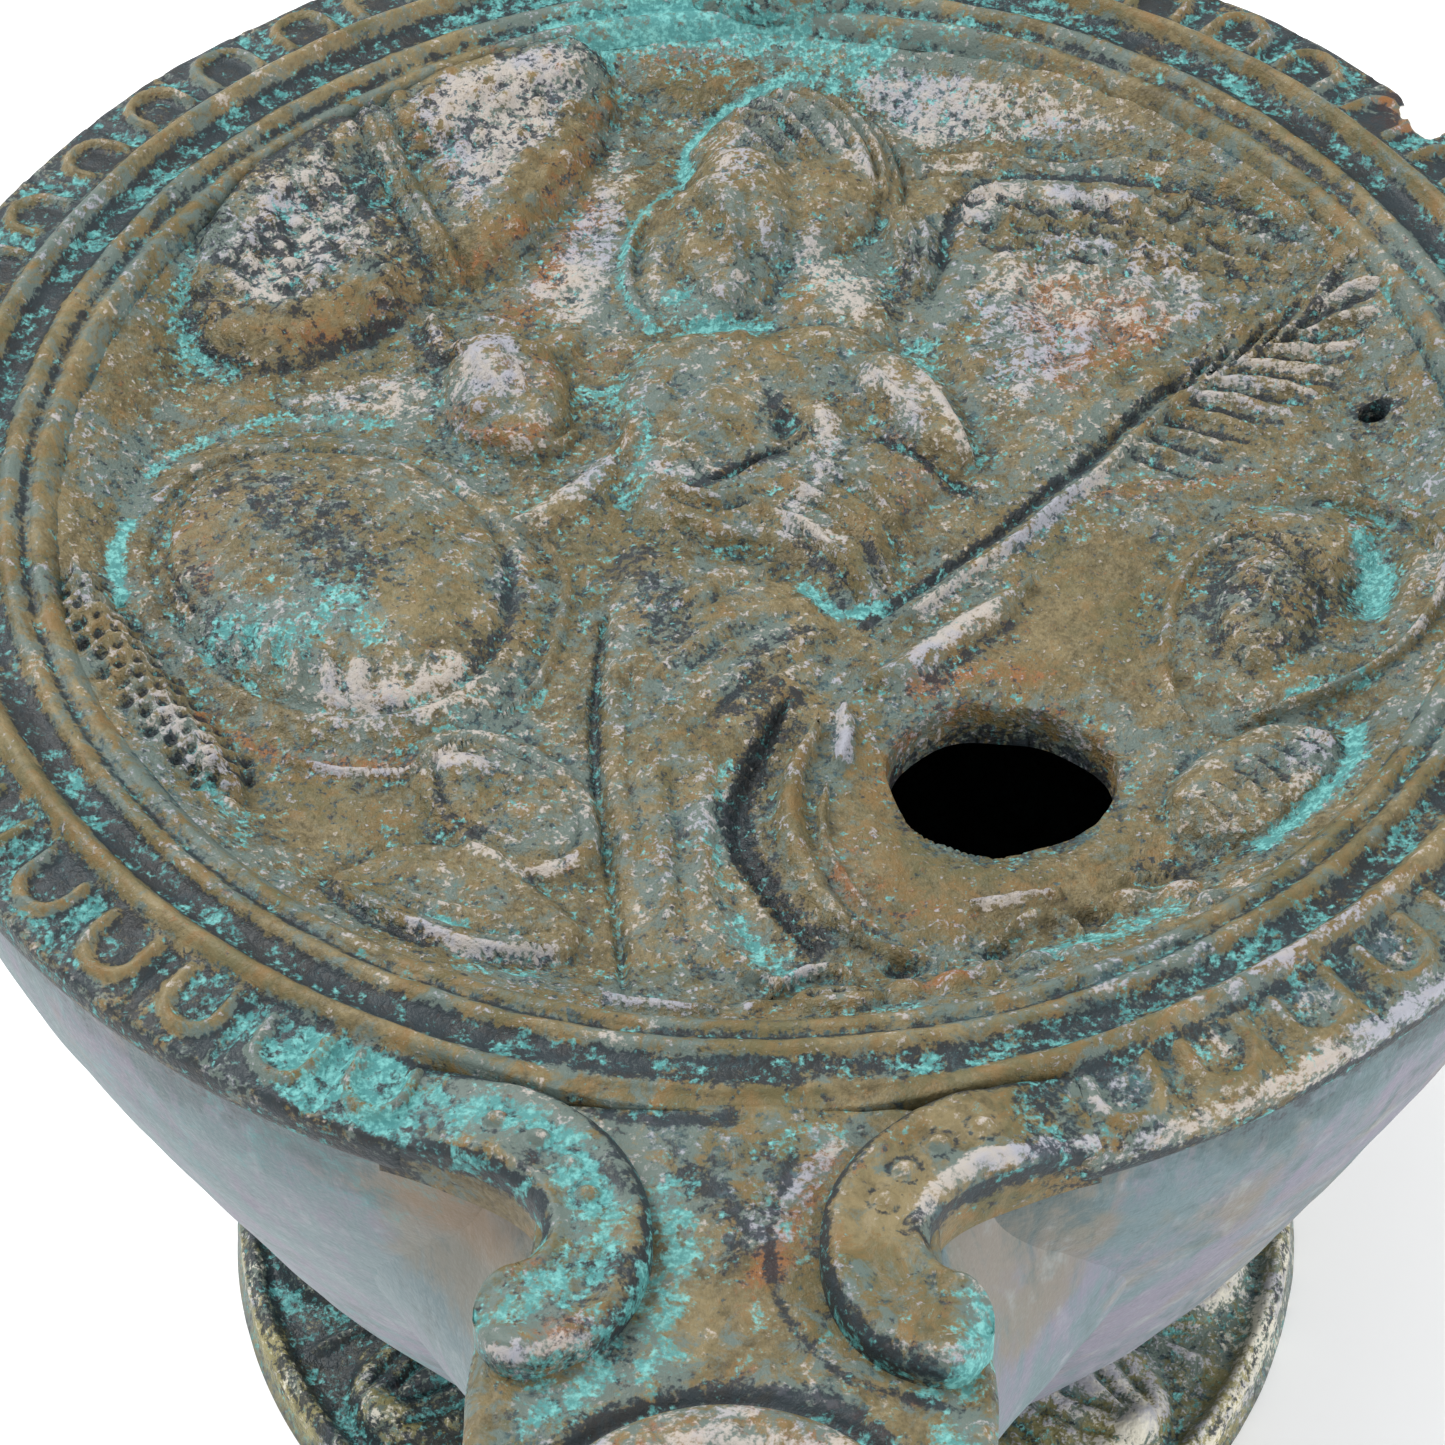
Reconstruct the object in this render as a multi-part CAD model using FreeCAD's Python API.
import FreeCAD, Part
import math
import os

# Footed oil lamp of the volute type, in millimetres.
# Z is up, the lamp stands on Z = 0, the body's axis is the Z axis.
# The nozzle points to -Y and the loop handle to +Y.

V = FreeCAD.Vector
UP = V(0, 0, 1)
O = V(0, 0, 0)

# ---- driving dimensions ----
BODY_R = 50.0            # outer edge of the shoulder
EDGE_Z = 67.0            # height of that edge
RIM_TOP = 68.9           # crest of the rim's outermost ridge
SEAT_Z = 64.4            # joint between the moulded top and the bowl
WALL = 3.2               # wall of the bowl and the spout
DISC_R = 38.9            # radius of the discus where it meets the rim
DISC_FLOOR = 64.2        # height of the sunken field
FOOT_R = 34.0
FOOT_EDGE_Z = 3.4
DECK_Z = 66.8            # flat top of the nozzle
WICK_Y = -72.0           # centre of the wick hole
WICK_R = 6.8
COLLAR_R = 10.0
TIP_R = 13.2             # rounding of the nozzle round the wick hole
FILL_X = 13.0            # centre of the filling hole
FILL_Y = -19.3
FILL_R = 5.5
VENT_X = 34.3            # small vent hole near the rim
VENT_Y = 8.1
EGG_STEP = 6.7           # degrees between the eggs of the band
EGG_R = 47.2             # radius the eggs stand on
HANDLE_Y = 61.5          # centre of the loop handle
HANDLE_Z = 56.0
HANDLE_OUT = 15.5
HANDLE_IN = 8.0
HANDLE_W = 12.5


def spin(points):
    """Solid of revolution about Z from a closed outline of (radius, height) points."""
    pts = [V(r, 0, z) for r, z in points]
    face = Part.Face(Part.makePolygon(pts + [pts[0]]))
    return face.revolve(O, UP, 360)


def curve_spin(curve, closing):
    """Solid of revolution: a smooth curve through points, closed by straight lines."""
    spline = Part.BSplineCurve()
    spline.interpolate([V(r, 0, z) for r, z in curve])
    corners = [curve[-1]] + closing + [curve[0]]
    edges = [spline.toShape()]
    for a, b in zip(corners[:-1], corners[1:]):
        edges.append(Part.makeLine(V(a[0], 0, a[1]), V(b[0], 0, b[1])))
    return Part.Face(Part.Wire(edges)).revolve(O, UP, 360)


def ball(x, y, z, rx, ry, rz, turn=0.0):
    """Ellipsoid with its own half-widths, turned about Z by an angle in degrees."""
    shape = Part.makeSphere(1.0)
    scale = FreeCAD.Matrix()
    scale.scale(rx, ry, rz)
    shape = shape.transformGeometry(scale)
    shape.rotate(O, UP, turn)
    shape.translate(V(x, y, z))
    return shape


def smooth_loop(points):
    """Closed smooth wire through plan points at height 0."""
    spline = Part.BSplineCurve()
    spline.interpolate([V(x, y, 0) for x, y in points], PeriodicFlag=True)
    return Part.Wire([spline.toShape()])


def prism(wire, low, high):
    """Upright prism over a plan wire."""
    solid = Part.Face(wire).extrude(V(0, 0, high - low))
    solid.translate(V(0, 0, low))
    return solid


def fused(base, others):
    """Base with every other shape added, as one clean solid."""
    shape = base
    for other in others:
        shape = shape.fuse(other)
    shape = shape.removeSplitter()
    return shape.Solids[0] if len(shape.Solids) == 1 else shape


def rod(points, radius):
    """Round rod along a smooth path, with rounded ends."""
    path = [V(*p) for p in points]
    spline = Part.BSplineCurve()
    spline.interpolate(path)
    wire = Part.Wire([spline.toShape()])
    start = spline.tangent(spline.FirstParameter)[0]
    ring = Part.Wire([Part.makeCircle(radius, path[0], start)])
    body = wire.makePipeShell([ring], True, False)
    ends = [Part.makeSphere(radius, path[0]), Part.makeSphere(radius, path[-1])]
    return fused(body, ends)


# ---- foot: flat base, upright edge with a bead, field rising to the stem ----
foot_outline = [
    (0, 0), (FOOT_R - 0.6, 0), (FOOT_R, 0.6), (FOOT_R, FOOT_EDGE_Z - 0.3), (FOOT_R - 0.3, FOOT_EDGE_Z),
    (FOOT_R - 1.0, FOOT_EDGE_Z + 0.3), (FOOT_R - 1.7, FOOT_EDGE_Z), (FOOT_R - 2.1, FOOT_EDGE_Z - 0.5),
    (28.0, 3.2), (24.0, 3.9), (21.0, 5.0), (19.0, 6.4), (0, 6.4),
]
foot = spin(foot_outline)
leaves = []
LEAF_COUNT = 14
for i in range(LEAF_COUNT):
    a = 360.0 * i / LEAF_COUNT
    lobe = ball(25.6, 0, 2.6, 6.0, 4.3, 1.9)
    lobe.rotate(O, UP, a)
    leaves.append(lobe)
foot_disc = fused(foot, leaves)
foot_disc = foot_disc.cut(spin([(0, 6.4), (60, 6.4), (60, 30), (0, 30)]))
base_groove = spin([(20.0, -1), (21.5, -1), (21.5, 0.6), (20.0, 0.6)])
foot_disc = foot_disc.cut(base_groove)

# ---- stem: waist between two mouldings ----
foot_stem = curve_spin(
    [(19.0, 6.4), (17.6, 7.3), (16.2, 8.8), (15.8, 10.2), (16.6, 11.8), (18.6, 13.2), (20.5, 14.0)],
    [(0, 14.0), (0, 6.4)],
)

# ---- reservoir bowl: smooth tapering wall, hollow ----
bowl_out = [
    (20.5, 14.0), (26.5, 15.4), (31.6, 18.6), (35.6, 25.0), (39.2, 33.5), (43.0, 42.5),
    (46.2, 51.0), (48.5, 59.0), (49.2, SEAT_Z),
]
bowl_in = [
    (20.0, 14.0 + WALL), (24.6, 18.2), (28.6, 20.8), (32.5, 27.0), (36.0, 34.8), (39.8, 43.6),
    (43.0, 51.8), (45.3, 59.4), (45.9, SEAT_Z),
]
bowl_solid = curve_spin(bowl_out, [(0, SEAT_Z), (0, 14.0)])
bowl_hollow = curve_spin(bowl_in, [(0, SEAT_Z), (0, 14.0 + WALL)])

# ---- plan outline of the nozzle: neck, sides, rounded end round the wick hole ----
# half outline from the shoulder to the tip, on the +X side
nozzle_half = [
    (15.4, -46.6), (11.3, -49.3), (9.7, -51.6), (10.2, -54.4), (12.2, -57.4), (12.4, -60.5),
    (12.3, -64.0), (13.0, -68.0), (TIP_R, WICK_Y), (11.9, -77.8), (8.4, -82.2), (4.2, -84.6),
]


def mirrored_chain(half, tip):
    """Open chain of plan points from the +X root round the tip to the -X root."""
    return half + [tip] + [(-x, y) for x, y in half[::-1]]


def open_outline(chain, rear_points):
    """Closed wire: a smooth chain with its ends joined through rear points."""
    spline = Part.BSplineCurve()
    spline.interpolate([V(x, y, 0) for x, y in chain])
    corners = [chain[-1]] + rear_points + [chain[0]]
    edges = [spline.toShape()]
    for a, b in zip(corners[:-1], corners[1:]):
        edges.append(Part.makeLine(V(a[0], a[1], 0), V(b[0], b[1], 0)))
    return Part.Wire(edges)


def hull_section(y, w_top, w_mid, z_mid, w_low, z_low, z_keel):
    """One upright cross-section of the spout: flat on top, rounded below."""
    side = [(w_top, SEAT_Z), (w_mid, z_mid), (w_low, z_low)]
    chain = side + [(0.0, z_keel)] + [(-x, z) for x, z in side[::-1]]
    spline = Part.BSplineCurve()
    spline.interpolate([V(x, y, z) for x, z in chain])
    lid = Part.makeLine(V(-w_top, y, SEAT_Z), V(w_top, y, SEAT_Z))
    return Part.Wire([spline.toShape(), lid])


# the spout's outside runs from the bowl's wall to the tip: narrow neck on top, fuller below it
hull_rows = [
    (-30.0, 27.0, 25.0, 46.0, 15.0, 30.5, 26.5),
    (-40.0, 21.5, 21.8, 48.5, 12.6, 34.3, 30.8),
    (-47.0, 14.6, 18.6, 50.5, 11.2, 38.6, 35.4),
    (-52.0, 9.6, 15.8, 52.0, 10.2, 41.8, 38.8),
    (-58.0, 12.1, 13.0, 54.6, 9.4, 45.6, 42.6),
    (-65.0, 12.4, 12.3, 56.8, 8.8, 49.2, 46.2),
    (-73.0, 13.4, 12.8, 58.6, 8.8, 52.4, 49.4),
    (-81.0, 13.4, 12.9, 60.2, 9.0, 55.2, 52.6),
    (-88.0, 13.4, 13.0, 61.4, 9.2, 57.6, 55.4),
]
hull = Part.makeLoft([hull_section(*row) for row in hull_rows], True, False)
nozzle_chain = mirrored_chain(nozzle_half, (0.0, -85.2))
nozzle_plan = open_outline(nozzle_chain, [(0.0, -36.0)])
root_box = Part.makeBox(80.0, 40.0, 60.0, V(-40, -66.0, 16.0))
spout_limit = prism(nozzle_plan, 16.0, SEAT_Z + 5.0).fuse(root_box)
spout_full = hull.common(spout_limit)

# oil channel inside it, open to the reservoir through a window in the bowl
inner_half = [
    (6.8, -36.0), (6.6, -44.0), (6.5, -52.0), (7.6, -58.0), (8.8, -64.0), (9.7, -69.0),
    (9.8, -73.0), (8.4, -77.4), (5.6, -80.4), (2.8, -81.7),
]
inner_plan = open_outline(mirrored_chain(inner_half, (0.0, -82.0)), [])
floor_line = [(-30.0, 38.5), (-40.0, 42.0), (-50.0, 45.2), (-60.0, 48.6), (-70.0, 52.4), (-80.0, 56.4), (-90.0, 60.6)]
floor_curve = Part.BSplineCurve()
floor_curve.interpolate([V(-20, y, z) for y, z in floor_line])
floor_edges = [
    floor_curve.toShape(), Part.makeLine(V(-20, -90.0, 60.6), V(-20, -90.0, 10.0)),
    Part.makeLine(V(-20, -90.0, 10.0), V(-20, -30.0, 10.0)), Part.makeLine(V(-20, -30.0, 10.0), V(-20, -30.0, 38.5)),
]
below_floor = Part.Face(Part.Wire(floor_edges)).extrude(V(40, 0, 0))
channel = prism(inner_plan, 30.0, SEAT_Z + 1.0).cut(below_floor)
window = channel.common(Part.makeBox(40.0, 40.0, 60.0, V(-20, -60.0, 2.2)))
nozzle_spout = spout_full.cut(bowl_solid).cut(channel)
nozzle_spout = max(nozzle_spout.Solids, key=lambda s: s.Volume)
reservoir_bowl = bowl_solid.cut(bowl_hollow).cut(window)

# ---- rim: outer band with eggs, three ridges, seat for the discus ----
rim_outline = [
    (49.2, SEAT_Z), (49.9, SEAT_Z + 0.5), (BODY_R, EDGE_Z - 1.0), (BODY_R - 0.15, EDGE_Z - 0.2),
    (BODY_R - 0.7, EDGE_Z + 0.05), (47.4, EDGE_Z + 0.45), (45.4, EDGE_Z + 0.95), (44.9, EDGE_Z + 1.5),
    (44.3, RIM_TOP), (43.7, RIM_TOP - 0.2), (43.2, RIM_TOP - 0.9), (42.6, RIM_TOP - 1.3), (42.0, RIM_TOP - 1.2),
    (41.7, RIM_TOP - 0.7), (41.2, RIM_TOP - 0.45), (40.8, RIM_TOP - 0.75), (40.5, RIM_TOP - 1.35),
    (40.2, RIM_TOP - 0.95), (39.7, RIM_TOP - 0.75), (39.2, RIM_TOP - 1.1), (DISC_R, RIM_TOP - 2.0),
    (DISC_R, 63.0), (37.0, 63.0), (37.0, 61.0), (40.0, 61.0), (45.9, 63.2), (45.9, SEAT_Z),
]
shoulder = spin(rim_outline)

# the deck and the scrolls replace the band of eggs at the front
deck_blank = prism(nozzle_plan, SEAT_Z, DECK_Z)
scroll_path = [
    (16.2, -44.6), (13.0, -45.6), (10.4, -46.9), (8.2, -48.6), (6.7, -51.0), (6.3, -53.6), (7.2, -55.9),
    (9.0, -57.3), (10.6, -57.4),
]
SCROLL_HALF = 2.7


def scroll_wire(side):
    """Plan outline of one scroll: a band of even width along its hooked path, with a round end."""
    path = [V(side * x, y, 0) for x, y in scroll_path]
    curve = Part.BSplineCurve()
    curve.interpolate(path)
    count = 13
    near = []
    far = []
    for k in range(count):
        u = curve.FirstParameter + (curve.LastParameter - curve.FirstParameter) * k / (count - 1)
        p = curve.value(u)
        t = curve.tangent(u)[0]
        n = V(-t.y, t.x, 0)
        half = SCROLL_HALF * (0.93 - 0.10 * k / (count - 1))
        near.append(p + n * half)
        far.append(p - n * half)
    end = curve.value(curve.LastParameter)
    t = curve.tangent(curve.LastParameter)[0]
    cap_top = end + t * SCROLL_HALF * 0.8
    side_a = Part.BSplineCurve()
    side_a.interpolate(near)
    side_b = Part.BSplineCurve()
    side_b.interpolate(far[::-1])
    cap = Part.Arc(near[-1], cap_top, far[-1])
    closing = Part.makeLine(far[0], near[0])
    return Part.Wire([side_a.toShape(), cap.toShape(), side_b.toShape(), closing])


front_zone = Part.makeBox(34.0, 16.0, 12.0, V(-17.0, -60.0, 60.0))
core = Part.makeCylinder(44.9, 20.0, V(0, 0, 58.0))
front_zone = front_zone.cut(core)
eggs = []
index = -24
while index <= 24:
    # counted from the back of the lamp, leaving out the handle's root and the front
    a = math.radians(90.0 + index * EGG_STEP)
    off_front = abs(math.degrees(a) - 90.0)
    if 12.0 < off_front < 156.0:
        eggs.append(Part.makeSphere(1.45, V(EGG_R * math.cos(a), EGG_R * math.sin(a), EDGE_Z + 0.05)))
    index += 1
shoulder = fused(shoulder, eggs)
shoulder_ring = shoulder.cut(front_zone)

deck_blank = deck_blank.cut(core).cut(shoulder_ring)
deck_blank = deck_blank.cut(Part.makeCylinder(WICK_R, 20.0, V(0, WICK_Y, 58.0)))
scrolls = {}
for name, side in (("volute_left", -1), ("volute_right", 1)):
    scroll = prism(scroll_wire(side), SEAT_Z + 0.6, EDGE_Z + 1.1)
    top_edges = []
    for edge in scroll.Edges:
        box = edge.BoundBox
        if box.ZMin > EDGE_Z + 1.0 and edge.Length > 6.0:
            top_edges.append(edge)
    try:
        scroll = scroll.makeFillet(0.7, top_edges)
    except Exception:
        scroll = prism(scroll_wire(side), SEAT_Z + 0.6, EDGE_Z + 1.1)
    scroll = scroll.cut(shoulder_ring)
    beads = []
    for x, y in ((11.4, -46.4), (9.5, -47.6), (7.9, -49.2), (7.0, -51.3)):
        beads.append(Part.makeSphere(1.0, V(side * x, y, EDGE_Z + 0.9)))
    scroll = fused(max(scroll.Solids, key=lambda s: s.Volume), beads)
    scrolls[name] = scroll
nozzle_deck = deck_blank.cut(scrolls["volute_left"]).cut(scrolls["volute_right"])
nozzle_deck = max(nozzle_deck.Solids, key=lambda s: s.Volume)

# ---- raised collar round the wick hole ----
wick_collar = spin([
    (WICK_R, DECK_Z), (COLLAR_R, DECK_Z), (COLLAR_R - 0.2, DECK_Z + 0.6), (COLLAR_R - 0.9, DECK_Z + 1.25),
    (COLLAR_R - 1.8, DECK_Z + 1.4), (WICK_R + 0.5, DECK_Z + 0.9), (WICK_R, DECK_Z + 0.4),
])
wick_collar.translate(V(0, WICK_Y, 0))

# ---- discus: sunken field with the relief modelled as simple raised masses ----
disc_outline = [
    (0, 61.0), (36.9, 61.0), (36.9, 63.0), (DISC_R - 0.05, 63.0), (DISC_R - 0.05, RIM_TOP - 2.1),
    (38.2, RIM_TOP - 2.4), (36.8, 65.4), (34.8, 64.6), (32.0, DISC_FLOOR), (0, DISC_FLOOR),
]
disc = spin(disc_outline)
relief = [
    # round shield with its flat rim, left
    ball(-23.0, -6.4, DISC_FLOOR, 10.2, 10.4, 2.7),
    Part.makeCylinder(11.6, 1.6, V(-23.0, -6.6, DISC_FLOOR - 0.9)),
    # two coins below it and a medallion at the right edge
    ball(-12.9, -22.3, DISC_FLOOR, 6.2, 4.0, 1.3, -46),
    ball(-14.8, -29.4, DISC_FLOOR, 7.2, 4.2, 1.5, -20),
    ball(29.2, -7.6, DISC_FLOOR, 7.4, 7.4, 1.8),
    # pod in two halves, upper left
    ball(-26.8, 20.0, DISC_FLOOR, 5.8, 9.6, 2.6, -14),
    ball(-15.6, 28.0, DISC_FLOOR, 5.3, 10.4, 2.8, -24),
    # pine cone at the left edge, fig, shell
    ball(-32.0, -15.0, DISC_FLOOR, 2.3, 9.0, 2.0, 34),
    ball(-14.8, 8.6, DISC_FLOOR, 3.2, 5.2, 1.8, 12),
    ball(27.4, -20.2, DISC_FLOOR, 3.4, 5.6, 1.7, -38),
    # the winged figure: head with its knot of hair, breast, waist, sleeve, skirt
    ball(0.4, 25.0, DISC_FLOOR, 5.4, 9.6, 3.8),
    ball(7.8, 21.6, DISC_FLOOR, 1.9, 3.2, 2.2, 15),
    ball(1.0, 8.4, DISC_FLOOR, 6.9, 6.2, 3.2),
    ball(1.4, -1.4, DISC_FLOOR, 7.2, 6.4, 2.6),
    ball(9.2, 7.0, DISC_FLOOR, 2.4, 5.8, 2.4, 20),
    ball(-3.0, -21.5, DISC_FLOOR, 5.1, 14.0, 1.8, 2),
    # wing
    ball(18.4, 19.0, DISC_FLOOR, 10.4, 7.9, 1.7, -14),
]
LINE_Z = DISC_FLOOR + 0.3
branch_points = [(7.0, -8.6), (11.0, -5.0), (14.5, -1.2), (19.0, 3.6), (23.0, 9.2), (28.0, 12.8), (32.0, 16.6)]
cloak_points = [(2.2, -14.6), (1.2, -19.6), (1.9, -25.4), (4.9, -30.8)]
forearm_points = [(6.6, -12.0), (10.2, -9.4), (13.6, -6.4)]
arm_points = [(-3.0, 6.8), (-7.6, 2.6), (-12.4, -0.8)]
for points, radius in ((branch_points, 0.8), (cloak_points, 1.0), (forearm_points, 1.1), (arm_points, 1.4)):
    relief.append(rod([(x, y, LINE_Z) for x, y in points], radius))
# garland along the lower edge
for x, y, size in ((-3.2, -35.2, 1.3), (1.0, -34.6, 1.5), (4.8, -34.4, 1.8), (10.2, -33.4, 1.8),
                   (15.8, -30.8, 1.9), (20.8, -27.8, 1.8)):
    relief.append(Part.makeSphere(size, V(x, y, DISC_FLOOR + 0.5)))
lip = Part.makeTorus(FILL_R + 1.5, 1.3, V(FILL_X, FILL_Y, DISC_FLOOR - 0.1))
relief.append(lip)
trim = spin([(0, 61.6), (36.2, 61.6), (36.2, 70.0), (0, 70.0)])
for mass in relief:
    piece = mass.common(trim)
    disc = disc.fuse(piece)
disc = disc.cut(Part.makeCylinder(FILL_R, 20.0, V(FILL_X, FILL_Y, 55.0)))
disc = disc.cut(Part.makeCylinder(0.9, 20.0, V(VENT_X, VENT_Y, 55.0)))
discus_plate = disc.removeSplitter()

# ---- loop handle at the back, with a tongue that laps over the rim ----
loop = Part.makeCylinder(HANDLE_OUT, HANDLE_W, V(-HANDLE_W / 2, HANDLE_Y, HANDLE_Z), V(1, 0, 0))
side_edges = [e for e in loop.Edges if abs(e.BoundBox.XLength) < 0.01]
loop = loop.makeFillet(3.2, side_edges)
for x in (-2.6, 2.6):
    groove = Part.makeTorus(HANDLE_OUT + 0.35, 0.9, V(x, HANDLE_Y, HANDLE_Z), V(1, 0, 0))
    loop = loop.cut(groove)
eye = Part.makeCylinder(HANDLE_IN, 40.0, V(-20.0, HANDLE_Y, HANDLE_Z), V(1, 0, 0))
tongue_plan = smooth_loop([(-8.2, 46.0), (-7.0, 41.0), (-3.6, 38.2), (1.2, 38.0), (5.2, 40.4), (7.2, 46.0),
                           (6.0, 51.5), (0.0, 53.0), (-6.4, 51.5)])
tongue = prism(tongue_plan, 65.0, 69.6)
loop = loop.fuse(tongue).cut(eye)
handle_ring = loop.cut(bowl_solid).cut(shoulder)
handle_ring = handle_ring.cut(Part.makeCylinder(39.2, 12.0, V(0, 0, 60.0)))
handle_ring = max(handle_ring.Solids, key=lambda s: s.Volume)

nodes = {
    "foot_disc": foot_disc,
    "foot_stem": foot_stem,
    "reservoir_bowl": reservoir_bowl,
    "nozzle_spout": nozzle_spout,
    "nozzle_deck": nozzle_deck,
    "wick_collar": wick_collar,
    "shoulder_ring": shoulder_ring,
    "volute_left": scrolls["volute_left"],
    "volute_right": scrolls["volute_right"],
    "discus_plate": discus_plate,
    "handle_ring": handle_ring,
}
os.makedirs("parts", exist_ok=True)
for name, shape in nodes.items():
    if shape.ShapeType != "Solid" and len(shape.Solids) == 1:
        shape = shape.Solids[0]
    box = shape.BoundBox
    print(name, shape.ShapeType, len(shape.Solids), shape.isValid(), round(shape.Volume, 1),
          [round(v, 1) for v in (box.XMin, box.XMax, box.YMin, box.YMax, box.ZMin, box.ZMax)])
    shape.exportStep("parts/" + name + ".step")
